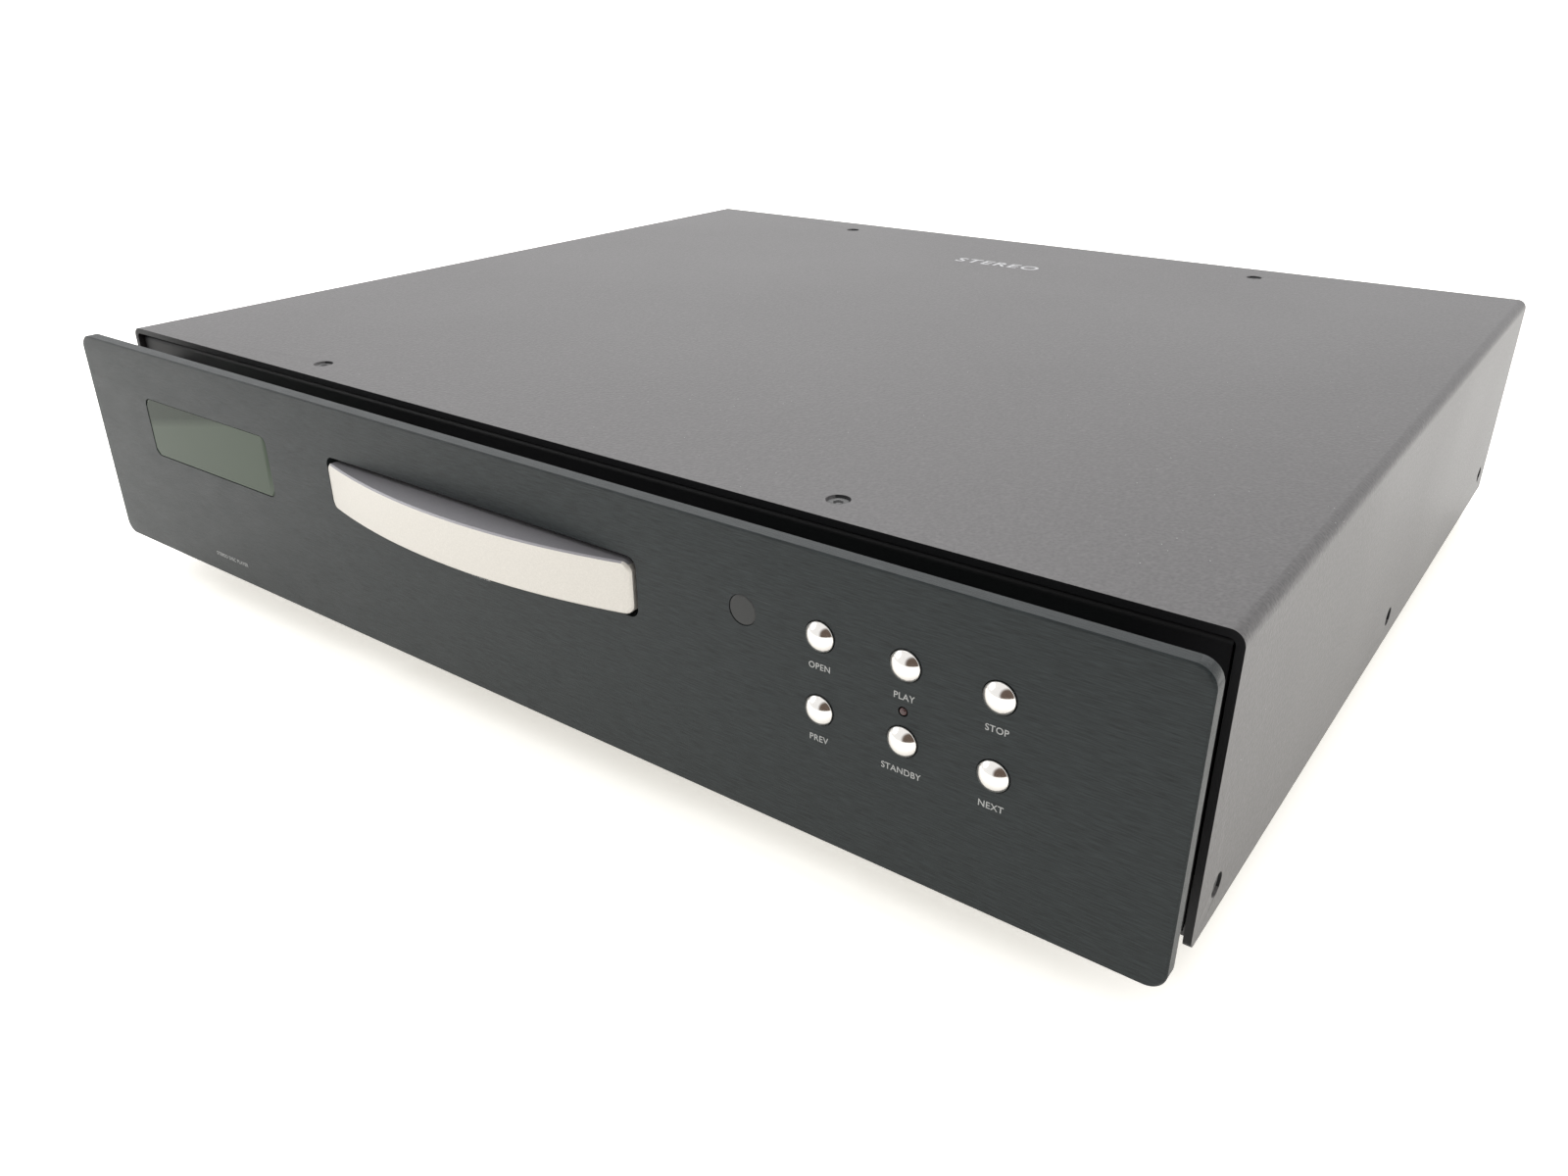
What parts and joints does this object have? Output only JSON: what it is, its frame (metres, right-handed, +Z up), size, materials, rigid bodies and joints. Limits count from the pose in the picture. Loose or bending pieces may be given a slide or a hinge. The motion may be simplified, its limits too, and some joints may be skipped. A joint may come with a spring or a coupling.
{
  "type": "cd player",
  "caption": "Full-width slim CD player: floating brushed front panel, wrap-around cover, curved drawer front, round push keys, drawer loader, pickup and supply inside.",
  "frame": {"origin": "centre of the footprint on the plane the feet stand on", "axes": "+X to the right seen from the front, the front faces -Y, +Z up"},
  "size_m": [0.43, 0.4, 0.095],
  "materials": {
    "panel_black": "horizontally brushed, black anodised",
    "cover_paint": "satin grey-black powder paint, fine texture",
    "inner_black": "black, satin",
    "display_glass": "tinted gloss",
    "sensor_black": "dark tinted",
    "lamp_red": "dull red, unlit",
    "satin_silver": "fine satin, clear anodised",
    "key_chrome": "polished",
    "zinc_steel": "bright zinc plated",
    "screw_black": "black oxide",
    "pan_steel": "satin black",
    "rear_black": "satin black",
    "foot_plastic": "moulded, matt",
    "pad_rubber": "matt",
    "tray_plastic": "fine moulded grain",
    "gear_white": "natural acetal",
    "gear_black": "moulded",
    "belt_rubber": "matt",
    "pcb_green": "solder mask",
    "chip_black": "epoxy",
    "can_sleeve": "shrink sleeve",
    "coil_tape": "polyester tape",
    "sink_black": "black anodised",
    "ribbon_grey": "flat cable",
    "lens_glass": "coated",
    "jack_metal": "gold plated",
    "jack_insert": "moulded",
    "connector_black": "moulded",
    "foam_pad": "soft ring"
  },
  "bodies": {
    "chassis": {"front_panel": "panel_black", "display_window": "display_glass", "ir_window": "sensor_black", "standby_led": "lamp_red", "panel_standoffs": "inner_black", "display_module": "sensor_black", "front_board": "pcb_green", "key_switches": "chip_black", "sub_front": "inner_black", "base_pan": "pan_steel", "rear_panel": "rear_black", "top_cover": "cover_paint", "case_screws": "screw_black", "feet": "foot_plastic", "foot_pads": "pad_rubber", "loader_base": "gear_black", "chassis_posts": "zinc_steel", "inner_screws": "zinc_steel", "clamp_bridge": "zinc_steel", "loading_motor": "zinc_steel", "drive_belt": "belt_rubber", "main_board": "pcb_green", "board_chips": "chip_black", "capacitors": "can_sleeve", "power_board": "pcb_green", "heat_sink": "sink_black", "transformer": "coil_tape", "transformer_clamp": "zinc_steel", "ribbon_cable": "ribbon_grey", "mains_inlet": "connector_black", "mains_pins": "jack_metal", "power_switch_frame": "connector_black", "rca_shells": "jack_metal", "rca_inserts": "jack_insert", "optical_output": "connector_black", "control_port": "connector_black"},
    "tray": {"disc_tray": "tray_plastic", "tray_front": "satin_silver"},
    "tray_wheel": {"tray_gear": "gear_white"},
    "pulley_wheel": {"pulley_gear": "gear_white"},
    "motor_wheel": {"motor_pulley": "gear_black"},
    "traverse": {"traverse_frame": "zinc_steel", "guide_rods": "key_chrome", "spindle_motor": "zinc_steel", "sled_motor": "zinc_steel"},
    "platter": {"turntable": "gear_black", "turntable_pad": "foam_pad"},
    "clamp": {"clamper": "gear_white"},
    "sled": {"pickup_sled": "gear_black", "pickup_lens": "lens_glass"},
    "sled_wheel": {"sled_gear": "gear_white"},
    "sled_drive": {"sled_pinion": "gear_white"},
    "cam": {"lift_cam": "gear_white"},
    "rocker": {"power_rocker": "connector_black"},
    "key_open": {"button_open": "key_chrome"},
    "key_play": {"button_play": "key_chrome"},
    "key_stop": {"button_stop": "key_chrome"},
    "key_prev": {"button_prev": "key_chrome"},
    "key_standby": {"button_standby": "key_chrome"},
    "key_next": {"button_next": "key_chrome"}
  },
  "joints": [
    {"name": "tray_slide", "type": "slide", "parent": "chassis", "child": "tray", "axis": [0, -1, 0], "range_m": [0, 0.142]},
    {"name": "tray_gear_spin", "type": "hinge", "parent": "chassis", "child": "tray_wheel", "pos_m": [-0.042, -0.147, 0.06], "axis": [0, 0, 1], "range_deg": [0, 546]},
    {"name": "pulley_spin", "type": "hinge", "parent": "chassis", "child": "pulley_wheel", "pos_m": [-0.02, -0.147, 0.057], "axis": [0, 0, 1], "range_deg": [-1450, 0]},
    {"name": "motor_pulley_spin", "type": "hinge", "parent": "chassis", "child": "motor_wheel", "pos_m": [0.012, -0.147, 0.059], "axis": [0, 0, 1], "range_deg": [-5380, 0]},
    {"name": "traverse_tilt", "type": "hinge", "parent": "chassis", "child": "traverse", "pos_m": [0, 0.005, 0.053], "axis": [1, 0, 0], "range_deg": [0, 3.5]},
    {"name": "cam_slide", "type": "slide", "parent": "chassis", "child": "cam", "axis": [1, 0, 0], "range_m": [0, 0.012]},
    {"name": "spindle_spin", "type": "hinge", "parent": "traverse", "child": "platter", "pos_m": [0, -0.112, 0.06], "axis": [0, 0, 1], "continuous": true},
    {"name": "clamper_spin", "type": "hinge", "parent": "chassis", "child": "clamp", "pos_m": [0, -0.112, 0.078], "axis": [0, 0, 1], "continuous": true},
    {"name": "sled_slide", "type": "slide", "parent": "traverse", "child": "sled", "axis": [0, 1, 0], "range_m": [0, 0.036]},
    {"name": "sled_gear_spin", "type": "hinge", "parent": "traverse", "child": "sled_wheel", "pos_m": [0.0345, -0.058, 0.058], "axis": [0, 0, 1], "range_deg": [-260, 0]},
    {"name": "sled_pinion_spin", "type": "hinge", "parent": "traverse", "child": "sled_drive", "pos_m": [0.0345, -0.043, 0.058], "axis": [0, 0, 1], "range_deg": [0, 520]},
    {"name": "rocker_tilt", "type": "hinge", "parent": "chassis", "child": "rocker", "pos_m": [-0.128, 0.1865, 0.047], "axis": [1, 0, 0], "range_deg": [-8, 8]},
    {"name": "press_open", "type": "slide", "parent": "chassis", "child": "key_open", "axis": [0, 1, 0], "range_m": [0, 0.0008], "stiffness_N_per_m": 400, "springref_m": -0.0005},
    {"name": "press_play", "type": "slide", "parent": "chassis", "child": "key_play", "axis": [0, 1, 0], "range_m": [0, 0.0008], "stiffness_N_per_m": 400, "springref_m": -0.0005},
    {"name": "press_stop", "type": "slide", "parent": "chassis", "child": "key_stop", "axis": [0, 1, 0], "range_m": [0, 0.0008], "stiffness_N_per_m": 400, "springref_m": -0.0005},
    {"name": "press_prev", "type": "slide", "parent": "chassis", "child": "key_prev", "axis": [0, 1, 0], "range_m": [0, 0.0008], "stiffness_N_per_m": 400, "springref_m": -0.0005},
    {"name": "press_standby", "type": "slide", "parent": "chassis", "child": "key_standby", "axis": [0, 1, 0], "range_m": [0, 0.0008], "stiffness_N_per_m": 400, "springref_m": -0.0005},
    {"name": "press_next", "type": "slide", "parent": "chassis", "child": "key_next", "axis": [0, 1, 0], "range_m": [0, 0.0008], "stiffness_N_per_m": 400, "springref_m": -0.0005}
  ],
  "couplings": [
    {"joint": "tray_gear_spin", "follows": "tray_slide", "rad_per_m": 66.667},
    {"joint": "pulley_spin", "follows": "tray_slide", "rad_per_m": -177.78},
    {"joint": "motor_pulley_spin", "follows": "tray_slide", "rad_per_m": -659.14},
    {"joint": "cam_slide", "follows": "traverse_tilt", "m_per_rad": 0.194},
    {"joint": "clamper_spin", "follows": "spindle_spin", "ratio": 1},
    {"joint": "sled_gear_spin", "follows": "sled_slide", "rad_per_m": -125},
    {"joint": "sled_pinion_spin", "follows": "sled_slide", "rad_per_m": 250}
  ]
}
